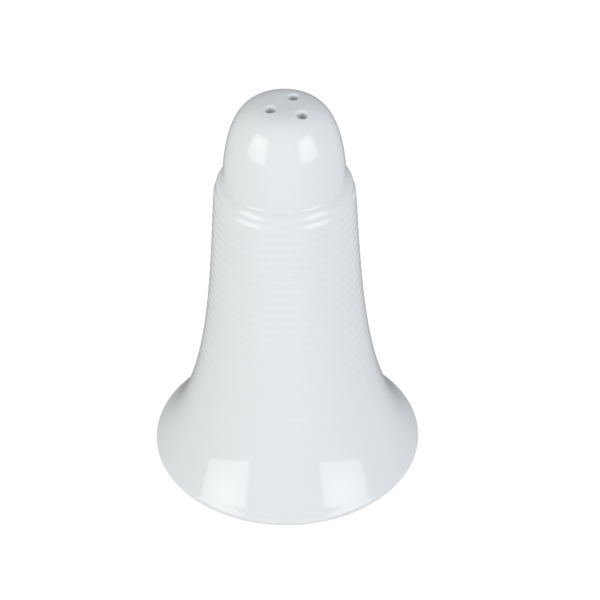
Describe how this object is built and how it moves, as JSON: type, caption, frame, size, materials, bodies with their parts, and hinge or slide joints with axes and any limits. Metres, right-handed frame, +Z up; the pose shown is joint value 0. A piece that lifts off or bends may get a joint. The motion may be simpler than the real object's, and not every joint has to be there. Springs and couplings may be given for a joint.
{
  "type": "salt shaker",
  "caption": "White glazed porcelain table shaker: domed top with pour holes, fine turned rings on a flared column, and a soft push-in stopper in the foot.",
  "frame": {"origin": "middle of the foot, on the surface that the shaker stands on", "axes": "+Z up along the turned body's axis, towards the dome; +Y away from the view that the shaker is usually seen from, +X to its right; the grip bar of the stopper lies along X"},
  "size_m": [0.056, 0.056, 0.085],
  "materials": {
    "white_glaze": "clear gloss glaze over white porcelain, bare matt porcelain only on the flat foot ring",
    "soft_plastic": "natural translucent soft plastic with a fine satin surface"
  },
  "bodies": {
    "body": {"porcelain_body": "white_glaze"},
    "stopper": {"filling_stopper": "soft_plastic"}
  },
  "joints": [
    {"name": "stopper_pull", "type": "slide", "parent": "body", "child": "stopper", "axis": [0, 0, -1], "range_m": [0, 0.02]}
  ]
}
